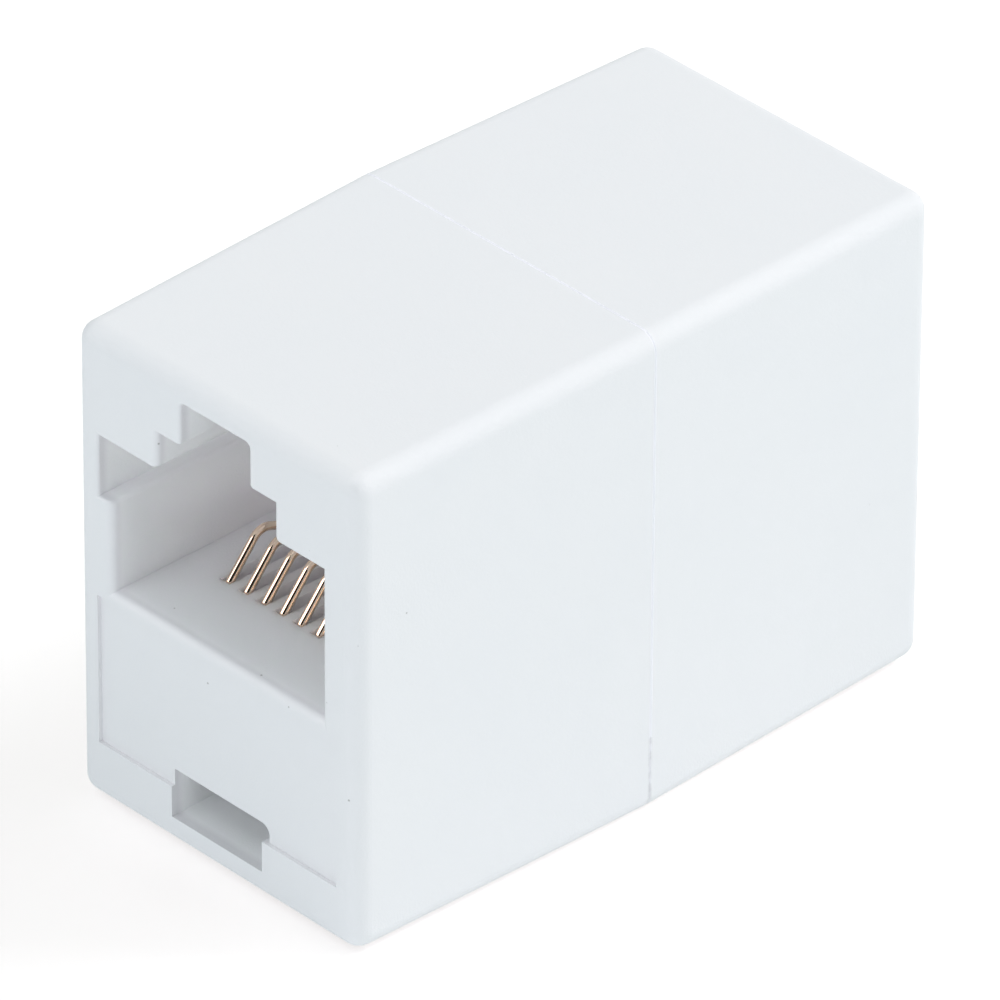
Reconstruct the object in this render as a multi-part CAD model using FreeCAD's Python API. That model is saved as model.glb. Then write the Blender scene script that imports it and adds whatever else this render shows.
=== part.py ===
import FreeCAD, Part
import math
import os
from FreeCAD import Vector

# In-line coupler that joins two 8-way modular plugs end to end.
#
# Two alike housing halves meet at a seam half way along. Each has a plug cavity over a grooved
# shelf, and under the shelf a chamber with a snap catch. Between them they hold one contact
# carrier with eight round contact wires. The rear half is the front one turned over about the
# width axis, so every wire runs straight through at mid height.
# X is the width, Y the plug axis with the front end at -Y, Z is up.

# ---- driving dimensions, millimetres and degrees ----

# Housing half, outside
half_length = 15.3          # end face to seam
end_width = 15.93
end_height = 21.66
side_draft = 1.26           # taper of the two sides, widest at the seam
top_draft = 0.75            # taper of the top and the bottom
corner_radius = 0.8         # outer edges and corners
seam_break = 0.05           # edge broken round the seam

# Plug cavity
cavity_width = 11.84
cavity_height = 6.85        # from the contact shelf to the cavity's ceiling
cavity_depth = 11.0
shelf_below_middle = 0.75   # contact shelf, below the housing's mid height
tab_step_width = 6.6        # lets the plug's latch shoulders in
tab_step_height = 1.8
tab_slot_width = 3.9        # lets the latch's tail out
top_wall = 0.96             # left above the slot at the end face
latch_wall = 2.0            # front wall that the latch shoulders catch behind
key_depth = 0.75            # side groove for a keyed plug
key_height = 2.72
ceiling_corner = 0.4        # rounded corners where ceiling and tab step meet
slot_corner = 0.25
slot_edge = 0.2             # rounded edges where tab step and slot meet
body_mouth_radius = 0.4     # rounding of the mouth, along the body's two side walls
step_mouth_radius = 0.3     # along the ceiling and up the tab step
small_mouth_radius = 0.16   # along the slot and the keying groove

# Shelf, panel and chamber of a housing half
shelf_thickness = 1.45
groove_width = 0.56
groove_depth = 0.8
groove_start = 3.76         # front end of the grooves, behind the end face
side_wall = 1.2             # at the end face
base_wall = 1.31
front_wall = 1.35
panel_recess = 0.18         # panel below the mouth, behind the end face
panel_drop = 0.47           # panel's upper edge, below the shelf
lip_height = 1.41           # lip below the panel
pocket_width = 5.15         # hole through the lip that frees the snap catch
pocket_step = 0.25          # wider to one side in the panel
pocket_rise = 0.75          # pocket's height in the panel
pocket_depth = 2.8
pocket_radius = 0.45
rail_width = 1.0            # rails that carry the pocket's sides inwards
catch_clearance = 0.25      # catch to the pocket's sides and top
catch_setback = 3.95        # catch face, behind the end face
catch_land = 0.4
catch_ramp = 2.3

# Contact carrier
fit_gap = 0.04              # carrier in housing
bulkhead = 1.2              # wall that closes the back of a plug cavity
tongue_thickness = 1.3
tongue_lift = 0.16          # tongue over the catch
hook_length = 1.0
gusset_reach = 2.2          # gussets between middle slab and bulkheads
gusset_width = 1.0
gusset_spacing = 9.0

# Contact wires
contact_count = 8
contact_pitch = 1.02
wire_diameter = 0.36
wire_sides = 12             # flats that stand for the round
wire_channel_gap = 0.02
wire_toe_gap = 0.04         # toe of the wire to the groove's front end
toe_depth = 0.7             # toe, below the shelf
toe_bend_depth = 0.2        # where the wire leans over, below the shelf
crest_height = 1.7          # where rise and fall would meet, above the shelf
rise_angle = 49.4
fall_angle = 20.0
crest_radius = 0.75
toe_radius = 0.35
run_radius = 1.6            # where the wire levels out

# ---- values that follow from them ----

seam_half_width = end_width / 2 + half_length * math.tan(math.radians(side_draft))
seam_half_height = end_height / 2 + half_length * math.tan(math.radians(top_draft))
front = -half_length
back = front + cavity_depth

shelf = -shelf_below_middle
ceiling = shelf + cavity_height
step_top = ceiling + tab_step_height
slot_top = end_height / 2 - top_wall
key_ledge = ceiling - key_height

chamber_half_width = end_width / 2 - side_wall
base = -end_height / 2 + base_wall
lip_top = base + lip_height

shelf_under = shelf - shelf_thickness
pocket_half_width = pocket_width / 2
pocket_top = lip_top + pocket_rise
catch_half_width = pocket_half_width - catch_clearance
catch_face = front + catch_setback
catch_crest = pocket_top - catch_clearance

carrier_half_width = chamber_half_width - fit_gap
carrier_bottom = lip_top + fit_gap
carrier_front = back + fit_gap
tongue_under = catch_crest + tongue_lift
hook_back = catch_face - fit_gap


def box(x0, x1, y0, y1, z0, z1):
    return Part.makeBox(x1 - x0, y1 - y0, z1 - z0, Vector(x0, y0, z0))


def turned(shape):
    """A copy turned half round about the width axis, from the front place to the rear one."""
    copy = shape.copy()
    copy.rotate(Vector(0, 0, 0), Vector(1, 0, 0), 180)
    return copy


def bent_line(corners):
    """Edges through corners given as (point, bend radius); the first and last have no bend."""
    edges = []
    last = corners[0][0]
    for index in range(1, len(corners) - 1):
        point, radius = corners[index]
        back_way = (corners[index - 1][0] - point).normalize()
        on_way = (corners[index + 1][0] - point).normalize()
        if radius == 0:
            edges.append(Part.LineSegment(last, point).toShape())
            last = point
            continue
        half_turn = (math.pi - back_way.getAngle(on_way)) / 2
        reach = radius * math.tan(half_turn)
        start = point + back_way * reach
        end = point + on_way * reach
        middle_way = (back_way + on_way).normalize()
        middle = point + middle_way * (radius / math.cos(half_turn) - radius)
        edges.append(Part.LineSegment(last, start).toShape())
        edges.append(Part.Arc(start, middle, end).toShape())
        last = end
    edges.append(Part.LineSegment(last, corners[-1][0]).toShape())
    return edges


# ---- housing half ----

def outer_form():
    """A block that tapers from the seam to the end face, with every outer edge rounded."""
    half_width, half_height = end_width / 2, end_height / 2
    block = Part.makeWedge(-half_width, front, -half_height, -seam_half_height, -seam_half_width,
                           half_width, 0, half_height, seam_half_height, seam_half_width)
    outer_edges = [e for e in block.Edges if min(v.Y for v in e.Vertexes) < front / 2]
    block = block.makeFillet(corner_radius, outer_edges)
    seam_edges = [e for e in block.Edges if e.BoundBox.YMin > -1e-6]
    return block.makeChamfer(seam_break, seam_edges)


def plug_cavity():
    """Stepped hole for the plug: body, latch shoulders and latch tail, and the keying groove."""
    body, step, slot = cavity_width / 2, tab_step_width / 2, tab_slot_width / 2
    corners = [(-body, shelf, 0), (-body, key_ledge, 0),
               (-body - key_depth, key_ledge, 0), (-body - key_depth, ceiling, 0),
               (-step, ceiling, ceiling_corner), (-step, step_top, 0),
               (-slot, step_top, slot_edge), (-slot, slot_top, slot_corner),
               (slot, slot_top, slot_corner), (slot, step_top, slot_edge),
               (step, step_top, 0), (step, ceiling, slot_corner),
               (body, ceiling, 0), (body, shelf, 0), (-body, shelf, 0)]
    outline = bent_line([(Vector(x, front, z), radius) for x, z, radius in corners])
    return Part.Face(Part.Wire(outline)).extrude(Vector(0, cavity_depth, 0))


def wire_places():
    first = -contact_pitch * (contact_count - 1) / 2
    return [first + contact_pitch * index for index in range(contact_count)]


def groove(x):
    """Slot in the shelf for the toe of one contact wire, open to the back."""
    return box(x - groove_width / 2, x + groove_width / 2,
               front + groove_start, back, shelf - groove_depth, shelf)


def release_pocket():
    """Hole through lip and panel in front of the snap catch."""
    half = pocket_half_width
    corners = [(-half, base, 0), (half, base, 0), (half, lip_top, 0),
               (half + pocket_step, lip_top, 0), (half + pocket_step, pocket_top, pocket_radius),
               (-half, pocket_top, 0), (-half, base, 0)]
    outline = bent_line([(Vector(x, front, z), radius) for x, z, radius in corners])
    return Part.Face(Part.Wire(outline)).extrude(Vector(0, pocket_depth, 0))


def snap_catch():
    """Ramp on the base wall; its steep face holds the hook of the carrier's tongue."""
    land_end = catch_face + catch_land
    side = [Vector(-catch_half_width, y, z) for y, z in (
        (catch_face, base - base_wall / 2), (catch_face, catch_crest), (land_end, catch_crest),
        (land_end + catch_ramp, base), (land_end + catch_ramp, base - base_wall / 2))]
    face = Part.Face(Part.makePolygon(side + side[:1]))
    return face.extrude(Vector(2 * catch_half_width, 0, 0))


def housing_half():
    half = outer_form().cut(plug_cavity())

    def mouth_edges(upright=None, level=None):
        """Straight edges of the mouth: upright ones this far out, or level ones at a height."""
        rooms = [(e, e.BoundBox) for e in half.Edges if e.BoundBox.YMax < front + 1e-6]
        if upright is not None:
            return [e for e, room in rooms
                    if room.XLength < 1e-6 and abs(abs(room.XMin) - upright) < 1e-6]
        return [e for e, room in rooms if room.ZLength < 1e-6 and abs(room.ZMin - level) < 1e-6]

    body, step, slot = cavity_width / 2, tab_step_width / 2, tab_slot_width / 2
    half = half.makeFillet(body_mouth_radius,
                           mouth_edges(upright=body) + mouth_edges(level=shelf))
    half = half.makeFillet(step_mouth_radius, mouth_edges(upright=step))
    half = half.makeFillet(small_mouth_radius, mouth_edges(level=key_ledge)
                           + mouth_edges(upright=body + key_depth)
                           + mouth_edges(level=step_top) + mouth_edges(upright=slot))

    # Room behind the latch wall, chamber under the shelf, and room for the carrier's middle
    wide = chamber_half_width
    chamber_front = front + front_wall
    half = half.cut(box(-step, step, front + latch_wall, back, ceiling, slot_top))
    half = half.cut(box(-wide, wide, chamber_front, 0, base, shelf_under))
    half = half.cut(box(-wide, wide, back, 0, shelf_under, -lip_top))

    half = half.cut(box(-wide, wide, front, front + panel_recess, lip_top, shelf - panel_drop))
    rails = box(-pocket_half_width - rail_width, pocket_half_width + pocket_step + rail_width,
                chamber_front, front + pocket_depth, base, pocket_top)
    half = half.fuse(rails).cut(release_pocket())
    half = half.cut(Part.makeCompound([groove(x) for x in wire_places()]))
    return half.fuse(snap_catch()).removeSplitter()


# ---- contact carrier ----

def snap_tongue():
    """Long springy tongue from the rear bulkhead to the catch in the front half."""
    half, front_end = catch_half_width, hook_back - hook_length
    tongue = box(-half, half, front_end, -carrier_front,
                 tongue_under, tongue_under + tongue_thickness)
    return tongue.fuse(box(-half, half, front_end, hook_back, carrier_bottom, tongue_under))


def gusset(x):
    """Triangular web in the corner between the middle slab and the rear bulkhead."""
    corner_y = -carrier_front - bulkhead
    points = [Vector(x - gusset_width / 2, y, z) for y, z in (
        (corner_y, shelf_under), (corner_y - gusset_reach, shelf_under),
        (corner_y, shelf_under - gusset_reach))]
    face = Part.Face(Part.makePolygon(points + points[:1]))
    return face.extrude(Vector(gusset_width, 0, 0))


def contact_carrier():
    """One moulding, a Z in side view: middle slab, bulkhead up in front and down at the rear."""
    wide = carrier_half_width
    inner = -carrier_front - bulkhead
    profile = [(carrier_front, shelf_under), (inner, shelf_under), (inner, carrier_bottom),
               (-carrier_front, carrier_bottom), (-carrier_front, -shelf_under),
               (-inner, -shelf_under), (-inner, -carrier_bottom),
               (carrier_front, -carrier_bottom)]
    points = [Vector(-wide, y, z) for y, z in profile]
    carrier = Part.Face(Part.makePolygon(points + points[:1])).extrude(Vector(2 * wide, 0, 0))

    below = [snap_tongue(), gusset(-gusset_spacing / 2), gusset(gusset_spacing / 2)]
    carrier = carrier.fuse(below + [turned(piece) for piece in below]).removeSplitter()

    reach = wire_diameter / 2 + wire_channel_gap
    channels = [box(x - reach, x + reach, carrier_front, -carrier_front, -reach, reach)
                for x in wire_places()]
    return carrier.cut(Part.makeCompound(channels))


# ---- contact wires ----

def contact_wire(x):
    """Round spring wire: toe in its groove, crest under the plug, level run, and the same turned."""
    toe_y = front + groove_start + wire_toe_gap + wire_diameter / 2
    lean = shelf - toe_bend_depth
    rise = math.tan(math.radians(rise_angle))
    fall = math.tan(math.radians(fall_angle))
    crest_z = shelf + crest_height
    crest_y = toe_y + (crest_z - lean) / rise
    level_y = crest_y + crest_z / fall
    front_part = [((toe_y, shelf - toe_depth), 0), ((toe_y, lean), toe_radius),
                  ((crest_y, crest_z), crest_radius), ((level_y, 0), run_radius)]
    rear_part = [((-y, -z), radius) for (y, z), radius in reversed(front_part)]
    corners = [(Vector(x, y, z), radius) for (y, z), radius in front_part + rear_part]
    path = Part.Wire(bent_line(corners))
    angles = [2 * math.pi * index / wire_sides for index in range(wire_sides + 1)]
    ring = Part.makePolygon([corners[0][0] + Vector(math.cos(angle), math.sin(angle), 0)
                             * (wire_diameter / 2) for angle in angles])
    return path.makePipeShell([ring], True, False)


# ---- parts ----

def save(name, shape):
    """The part stands with its lowest point at the origin's height."""
    solid = shape.Solids[0]
    solid.translate(Vector(0, 0, seam_half_height))
    solid.exportStep(os.path.join("parts", name + ".step"))
    print(name, "solids", len(shape.Solids), "valid", solid.isValid(),
          "volume %.3f" % solid.Volume)


os.makedirs("parts", exist_ok=True)
half = housing_half()
save("rear_housing", turned(half))
save("front_housing", half)
save("contact_carrier", contact_carrier())
for number, x in enumerate(wire_places(), 1):
    save("contact_wire_%d" % number, contact_wire(x))
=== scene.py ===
import math

import bpy
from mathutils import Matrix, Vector


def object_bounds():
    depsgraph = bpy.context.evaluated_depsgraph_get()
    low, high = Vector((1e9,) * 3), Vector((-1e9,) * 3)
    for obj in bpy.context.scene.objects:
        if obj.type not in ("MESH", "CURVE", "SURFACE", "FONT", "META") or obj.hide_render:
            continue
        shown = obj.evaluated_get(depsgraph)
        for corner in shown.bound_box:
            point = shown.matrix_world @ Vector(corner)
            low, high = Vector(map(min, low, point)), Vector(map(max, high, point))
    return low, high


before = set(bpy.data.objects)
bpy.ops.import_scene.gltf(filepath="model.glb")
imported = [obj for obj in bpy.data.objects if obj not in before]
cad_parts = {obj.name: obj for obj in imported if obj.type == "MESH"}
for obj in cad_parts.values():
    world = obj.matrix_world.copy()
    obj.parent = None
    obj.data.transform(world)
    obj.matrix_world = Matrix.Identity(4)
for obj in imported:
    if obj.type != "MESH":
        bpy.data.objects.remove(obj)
cad_low, cad_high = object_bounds()


# Camera. A long lens from the front right, a little over half a metre away, looks down on the
# front jack, the top and the right side. It is rolled by a third of a degree.
camera_data = bpy.data.cameras.new("camera")
camera_data.sensor_width = 36
camera_data.lens = 498.6
camera_data.clip_end = 5
camera = bpy.data.objects.new("camera", camera_data)
camera.location = (0.32601, -0.31162, 0.30753)
looks_at = Vector((0.00002, -0.00028, 0.01072))
camera_turn = (looks_at - camera.location).to_track_quat("-Z", "Y").to_matrix()
camera_roll = math.radians(0.37)
bpy.context.scene.collection.objects.link(camera)
camera.rotation_euler = camera_turn.to_euler()
camera.rotation_euler.rotate_axis("Z", camera_roll)
bpy.context.scene.camera = camera
bpy.context.scene.view_settings.view_transform = "Standard"


# Studio. A white tent of cool light, with lamps behind its walls and its open side, which is
# dark, towards the front right. Only what is polished shows the opening and the bright wall.
def srgb(code):
    """Linear colour of an sRGB hex value."""
    parts = [int(code[place:place + 2], 16) / 255 for place in (1, 3, 5)]
    linear = [part / 12.92 if part <= 0.04045 else ((part + 0.055) / 1.055) ** 2.4
              for part in parts]
    return (*linear, 1)


def add_node(tree, kind, links=None, **settings):
    """Adds a node: links are its inputs, each joined to a socket or given a value."""
    node = tree.nodes.new(kind)
    for name, value in settings.items():
        setattr(node, name, value)
    for name, value in (links or {}).items():
        if isinstance(value, bpy.types.NodeSocket):
            tree.links.new(value, node.inputs[name])
        else:
            node.inputs[name].default_value = value
    return node


def way(azimuth, elevation):
    """Direction from the coupler: azimuth from the front towards its right, in degrees."""
    turn, rise = math.radians(azimuth), math.radians(elevation)
    return Vector((math.sin(turn) * math.cos(rise), -math.cos(turn) * math.cos(rise),
                   math.sin(rise)))


tent = bpy.data.worlds.new("tent")
tent.use_nodes = True
tent.node_tree.nodes.clear()
bpy.context.scene.world = tent
place = add_node(tent.node_tree, "ShaderNodeTexCoord")


def patch(middle, inner, outer, inside, outside):
    """Strength inside and outside a round patch of the tent, blended between two angles."""
    facing = add_node(tent.node_tree, "ShaderNodeVectorMath",
                      {0: place.outputs["Generated"], 1: middle}, operation="DOT_PRODUCT")
    blend = add_node(tent.node_tree, "ShaderNodeMapRange",
                     {"Value": facing.outputs["Value"], "From Min": math.cos(math.radians(inner)),
                      "From Max": math.cos(math.radians(outer)), "To Min": inside,
                      "To Max": outside}, interpolation_type="SMOOTHSTEP")
    return blend.outputs["Result"]


opening = patch(way(46, 33), 36, 43, 0.03, 1.0)
bright_wall = patch(way(-38, 36), 15, 48, 3.2, 0.9)
walls = add_node(tent.node_tree, "ShaderNodeMath", {0: opening, 1: bright_wall},
                 operation="MULTIPLY")
ray = add_node(tent.node_tree, "ShaderNodeLightPath")
even = add_node(tent.node_tree, "ShaderNodeBackground",
                {"Color": srgb("#F1FFFE"), "Strength": 0.491})
polished = add_node(tent.node_tree, "ShaderNodeBackground",
                    {"Color": srgb("#FFFFFF"), "Strength": walls.outputs[0]})
seen = add_node(tent.node_tree, "ShaderNodeBackground",
                {"Color": srgb("#FFFFFF"), "Strength": 1.0})
lit = add_node(tent.node_tree, "ShaderNodeMixShader",
               {0: ray.outputs["Is Glossy Ray"], 1: even.outputs[0], 2: polished.outputs[0]})
shown = add_node(tent.node_tree, "ShaderNodeMixShader",
                 {0: ray.outputs["Is Camera Ray"], 1: lit.outputs[0], 2: seen.outputs[0]})
add_node(tent.node_tree, "ShaderNodeOutputWorld", {"Surface": shown.outputs[0]})


def softbox(name, azimuth, elevation, power, colour):
    """A square lamp, 0.4 m wide and 0.8 m away, that faces the coupler."""
    data = bpy.data.lights.new(name, "AREA")
    data.size = 0.4
    data.energy = power
    data.color = srgb(colour)[:3]
    lamp = bpy.data.objects.new(name, data)
    lamp.location = looks_at + 0.8 * way(azimuth, elevation)
    lamp.rotation_euler = (looks_at - lamp.location).to_track_quat("-Z", "Y").to_euler()
    lamp.visible_glossy = False
    bpy.context.scene.collection.objects.link(lamp)


softbox("low_front_lamp", 15, 12, 1.23, "#F6F5FF")
softbox("upper_left_lamp", -20, 62, 0.72, "#F3F8FF")
softbox("right_lamp", 115, 35, 0.58, "#FFFEFF")
softbox("rear_lamp", 150, 45, 3.25, "#FFFEFF")


# Floor. A sheet of white paper on a light table. It glows faintly from below, which lights the
# coupler's lower edges, and it glows more to the eye, so that it shows white round a soft shadow.
bpy.ops.object.select_all(action="DESELECT")
bpy.ops.mesh.primitive_plane_add(size=1.5, location=(0, 0, 0))
floor = bpy.context.object
floor.name = "floor"
white_sheet = bpy.data.materials.new("white_sheet")
white_sheet.use_nodes = True
white_sheet.node_tree.nodes.clear()
paper = add_node(white_sheet.node_tree, "ShaderNodeBsdfDiffuse", {"Color": srgb("#DFE0E1")})
ray = add_node(white_sheet.node_tree, "ShaderNodeLightPath")
glow_colour = add_node(white_sheet.node_tree, "ShaderNodeMix",
                       {"Factor": ray.outputs["Is Camera Ray"], "A": srgb("#78807F"),
                        "B": srgb("#BAB1AE")}, data_type="RGBA")
glow = add_node(white_sheet.node_tree, "ShaderNodeEmission",
                {"Color": glow_colour.outputs["Result"]})
lit_sheet = add_node(white_sheet.node_tree, "ShaderNodeAddShader",
                     {0: paper.outputs[0], 1: glow.outputs[0]})
add_node(white_sheet.node_tree, "ShaderNodeOutputMaterial", {"Surface": lit_sheet.outputs[0]})
floor.data.materials.append(white_sheet)


# Housing halves. Two alike shells of white ABS, injection moulded against a finely spark-eroded
# tool, which leaves them satin, and pressed together at the seam.
def moulded_abs(name, colour, shade):
    """White ABS: even colour, faint flow clouds, a satin grain, and light through its walls."""
    material = bpy.data.materials.new(name)
    material.use_nodes = True
    tree = material.node_tree
    tree.nodes.clear()
    place = add_node(tree, "ShaderNodeTexCoord").outputs["Object"]

    cloud_size = 0.005
    clouds = add_node(tree, "ShaderNodeTexNoise",
                      {"Vector": place, "Scale": 1 / cloud_size, "Detail": 3, "Roughness": 0.5})
    plastic = add_node(tree, "ShaderNodeMix",
                       {"Factor": clouds.outputs["Fac"], "A": srgb(colour), "B": srgb(shade)},
                       data_type="RGBA").outputs["Result"]

    # Spark-eroded grain is about 0.03 mm wide. It is drawn 0.1 mm wide so that it shows
    grain_size = 0.0001
    grain_depth = 0.00002
    grain = add_node(tree, "ShaderNodeTexNoise",
                     {"Vector": place, "Scale": 1 / grain_size, "Detail": 2, "Roughness": 0.6})
    texture = add_node(tree, "ShaderNodeBump",
                       {"Height": grain.outputs["Fac"], "Strength": 0.5, "Distance": grain_depth})
    gloss = add_node(tree, "ShaderNodeMapRange",
                     {"Value": clouds.outputs["Fac"], "To Min": 0.40, "To Max": 0.50})

    # The walls are 1 to 2 mm thick, and light from outside comes through them and fills the
    # cavities. Depth below the box round the coupler tells inside faces from outside ones.
    skin = 0.0005
    mouth = 0.0003
    offset = add_node(tree, "ShaderNodeVectorMath", {0: place, 1: (cad_low + cad_high) / 2},
                      operation="SUBTRACT")
    offset = add_node(tree, "ShaderNodeVectorMath", {0: offset.outputs[0]}, operation="ABSOLUTE")
    depth = add_node(tree, "ShaderNodeVectorMath",
                     {0: (cad_high - cad_low) / 2, 1: offset.outputs[0]}, operation="SUBTRACT")
    depth = add_node(tree, "ShaderNodeSeparateXYZ", {0: depth.outputs[0]})
    least = add_node(tree, "ShaderNodeMath", {0: depth.outputs["X"], 1: depth.outputs["Z"]},
                     operation="MINIMUM")
    under_skin = add_node(tree, "ShaderNodeMapRange",
                          {"Value": least.outputs[0], "From Min": skin, "From Max": 2 * skin})
    past_mouth = add_node(tree, "ShaderNodeMapRange",
                          {"Value": depth.outputs["Y"], "From Min": mouth, "From Max": 2 * mouth})
    inside = add_node(tree, "ShaderNodeMath",
                      {0: under_skin.outputs["Result"], 1: past_mouth.outputs["Result"]},
                      operation="MULTIPLY")

    # It travels 0.8 mm close to the shelf or the mouth, and up to 4 mm far from both. The
    # product of the two distances, 3 to 25 square millimetres, says how far
    off_shelf = add_node(tree, "ShaderNodeSeparateXYZ", {0: offset.outputs[0]}).outputs["Z"]
    clear = add_node(tree, "ShaderNodeMath", {0: off_shelf, 1: depth.outputs["Y"]},
                     operation="MULTIPLY")
    reach = add_node(tree, "ShaderNodeMapRange",
                     {"Value": clear.outputs[0], "From Min": 0.000003, "From Max": 0.000025,
                      "To Min": 0.0008, "To Max": 0.0040})
    # Inside faces are drawn in a lighter colour than outside ones: painted light, added to the light
    # that comes through the walls.
    plastic = add_node(tree, "ShaderNodeMix",
                       {"Factor": inside.outputs[0], "A": plastic, "B": srgb("#FEFAFD")},
                       data_type="RGBA").outputs["Result"]
    surface = add_node(tree, "ShaderNodeBsdfPrincipled",
                       {"Base Color": plastic, "Roughness": gloss.outputs["Result"], "IOR": 1.54,
                        "Subsurface Weight": inside.outputs[0],
                        "Subsurface Radius": (1, 0.95, 1), "Subsurface Scale": reach.outputs["Result"],
                        "Normal": texture.outputs["Normal"]})
    add_node(tree, "ShaderNodeOutputMaterial", {"Surface": surface.outputs[0]})
    return material, place, plastic, surface


housing_abs, place, plastic, surface = moulded_abs("housing_white_abs", "#F1EEF0", "#EEECEF")
tree = housing_abs.node_tree
spot = add_node(tree, "ShaderNodeSeparateXYZ", {0: place})
along = add_node(tree, "ShaderNodeMath", {0: spot.outputs["Y"]}, operation="ABSOLUTE")

# Dust specks about 0.12 mm across, about 1.7 mm apart in depth, lie only towards the jack ends
speck_spacing = 0.0017
speck_radius = 0.00006
half_length = cad_high.y
specks = add_node(tree, "ShaderNodeTexVoronoi",
                  {"Vector": place, "Scale": 1 / speck_spacing}, feature="F1")
speck = add_node(tree, "ShaderNodeMapRange",
                 {"Value": specks.outputs["Distance"],
                  "From Min": 0.5 * speck_radius / speck_spacing,
                  "From Max": speck_radius / speck_spacing, "To Min": 0.5, "To Max": 0})
near_ends = add_node(tree, "ShaderNodeMapRange",
                     {"Value": along.outputs[0], "From Min": 0.78 * half_length,
                      "From Max": 0.84 * half_length})
dust = add_node(tree, "ShaderNodeMath",
                {0: speck.outputs["Result"], 1: near_ends.outputs["Result"]},
                operation="MULTIPLY")
dusty = add_node(tree, "ShaderNodeMix",
                 {"Factor": dust.outputs[0], "A": plastic, "B": srgb("#6E625A")},
                 data_type="RGBA")

# Painted highlight: the 0.06 mm at the seam's edges is drawn near white, a light line along the seam
seam_highlight_width = 0.00006
seam_highlight_band = add_node(tree, "ShaderNodeMath", {0: along.outputs[0], 1: seam_highlight_width},
                     operation="LESS_THAN")
seam_highlighted = add_node(tree, "ShaderNodeMix",
                    {"Factor": seam_highlight_band.outputs[0], "A": dusty.outputs["Result"],
                     "B": srgb("#FDFAFF")}, data_type="RGBA")

# The lowest 3.5 mm of the seam on the right side is drawn darker, in 0.4 mm blots. It fades out
# between 0.05 and 0.14 mm from the seam
dark_seam_top = 0.0035
right_side = 0.005
blot_size = 0.0004
seam_line = add_node(tree, "ShaderNodeMapRange",
                     {"Value": along.outputs[0], "From Min": 0.00005, "From Max": 0.00014,
                      "To Min": 1, "To Max": 0}, interpolation_type="SMOOTHSTEP")
low = add_node(tree, "ShaderNodeMath", {0: spot.outputs["Z"], 1: dark_seam_top},
               operation="LESS_THAN")
on_right = add_node(tree, "ShaderNodeMath", {0: spot.outputs["X"], 1: right_side},
                    operation="GREATER_THAN")
low_right = add_node(tree, "ShaderNodeMath", {0: low.outputs[0], 1: on_right.outputs[0]},
                     operation="MULTIPLY")
blots = add_node(tree, "ShaderNodeTexNoise",
                 {"Vector": place, "Scale": 1 / blot_size, "Detail": 2, "Roughness": 0.6})
blot = add_node(tree, "ShaderNodeMapRange",
                {"Value": blots.outputs["Fac"], "From Min": 0.35, "From Max": 0.65,
                 "To Min": 0.04, "To Max": 0.2})
seam_darkening = add_node(tree, "ShaderNodeMath",
                 {0: seam_line.outputs["Result"], 1: low_right.outputs[0]},
                 operation="MULTIPLY")
seam_darkening = add_node(tree, "ShaderNodeMath", {0: seam_darkening.outputs[0], 1: blot.outputs["Result"]},
                 operation="MULTIPLY")
seam_darkened = add_node(tree, "ShaderNodeMix",
                  {"Factor": seam_darkening.outputs[0], "A": seam_highlighted.outputs["Result"],
                   "B": srgb("#6E625A")}, data_type="RGBA")
tree.links.new(seam_darkened.outputs["Result"], surface.inputs["Base Color"])

for name in ("front_housing", "rear_housing"):
    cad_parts[name].data.materials[0] = housing_abs


# Contact carrier. One moulding in the same ABS from another tool. It slides in from the seam and
# its tongues snap behind the catch in each half.
carrier_abs = moulded_abs("carrier_white_abs", "#F1EEF0", "#EEECEF")[0]
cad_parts["contact_carrier"].data.materials[0] = carrier_abs


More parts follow.
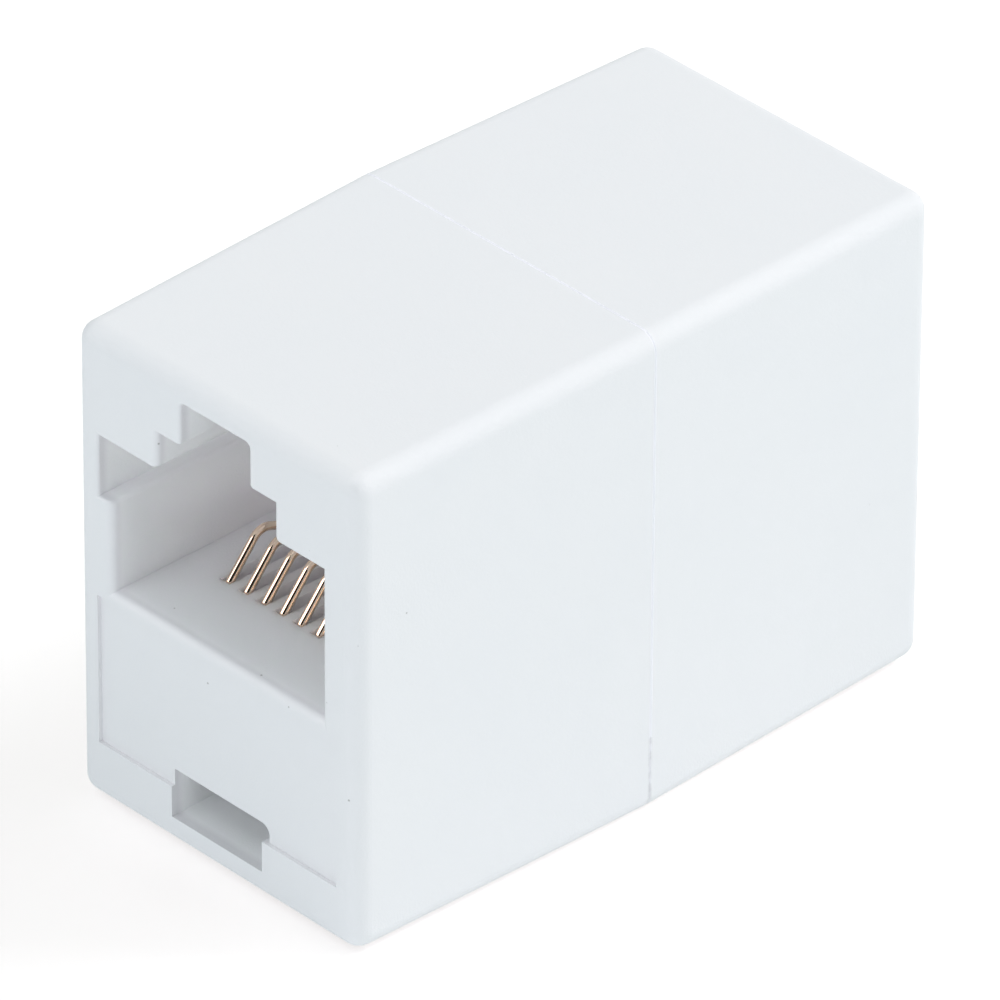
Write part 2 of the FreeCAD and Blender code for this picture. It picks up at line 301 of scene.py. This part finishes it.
# Contact wires. Round phosphor bronze wire, drawn bright and gold plated over nickel, then bent
# and laid side by side in the carrier's channels. It mirrors the tent in sharp streaks.
gold_plate = bpy.data.materials.new("gold_plated_bronze")
gold_plate.use_nodes = True
tree = gold_plate.node_tree
tree.nodes.clear()
place = add_node(tree, "ShaderNodeTexCoord").outputs["Object"]
tarnish_size = 0.0012
tarnish = add_node(tree, "ShaderNodeTexNoise",
                   {"Vector": place, "Scale": 1 / tarnish_size, "Detail": 3, "Roughness": 0.6})
gold = add_node(tree, "ShaderNodeMix",
                {"Factor": tarnish.outputs["Fac"], "A": srgb("#F6DFCB"), "B": srgb("#EED4BB")},
                data_type="RGBA")

# The wires' flats are shaded as the round that they stand for. Each wire's normal leans across
# by its distance from the wire's own middle, half a pitch to one side of a whole pitch.
contact_pitch = 0.00102
wire_radius = 0.00018
spot = add_node(tree, "ShaderNodeSeparateXYZ", {0: place})
shifted = add_node(tree, "ShaderNodeMath", {0: spot.outputs["X"], 1: contact_pitch / 2},
                   operation="SUBTRACT")
from_middle = add_node(tree, "ShaderNodeMath",
                       {0: shifted.outputs[0], 1: contact_pitch / 2, 2: -contact_pitch / 2},
                       operation="WRAP")
lean = add_node(tree, "ShaderNodeMath", {0: from_middle.outputs[0], 1: wire_radius},
                operation="DIVIDE").outputs[0]
lean_squared = add_node(tree, "ShaderNodeMath", {0: lean, 1: lean}, operation="MULTIPLY")
rest = add_node(tree, "ShaderNodeMath", {0: 1.0, 1: lean_squared.outputs[0]}, operation="SUBTRACT")
upright = add_node(tree, "ShaderNodeMath", {0: rest.outputs[0]}, operation="SQRT")
flat_normal = add_node(tree, "ShaderNodeNewGeometry").outputs["Normal"]
in_bend = add_node(tree, "ShaderNodeVectorMath", {0: flat_normal, 1: (0, 1, 1)},
                   operation="MULTIPLY")
in_bend = add_node(tree, "ShaderNodeVectorMath", {0: in_bend.outputs[0]}, operation="NORMALIZE")
in_bend = add_node(tree, "ShaderNodeVectorMath",
                   {0: in_bend.outputs[0], "Scale": upright.outputs[0]}, operation="SCALE")
aside = add_node(tree, "ShaderNodeCombineXYZ", {0: lean})
round_normal = add_node(tree, "ShaderNodeVectorMath", {0: in_bend.outputs[0], 1: aside.outputs[0]},
                        operation="ADD")
metal = add_node(tree, "ShaderNodeBsdfPrincipled",
                 {"Base Color": gold.outputs["Result"], "Metallic": 1.0, "Roughness": 0.08,
                  "Normal": round_normal.outputs[0]})
add_node(tree, "ShaderNodeOutputMaterial", {"Surface": metal.outputs[0]})
contact_count = 8
for number in range(1, contact_count + 1):
    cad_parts["contact_wire_%d" % number].data.materials[0] = gold_plate
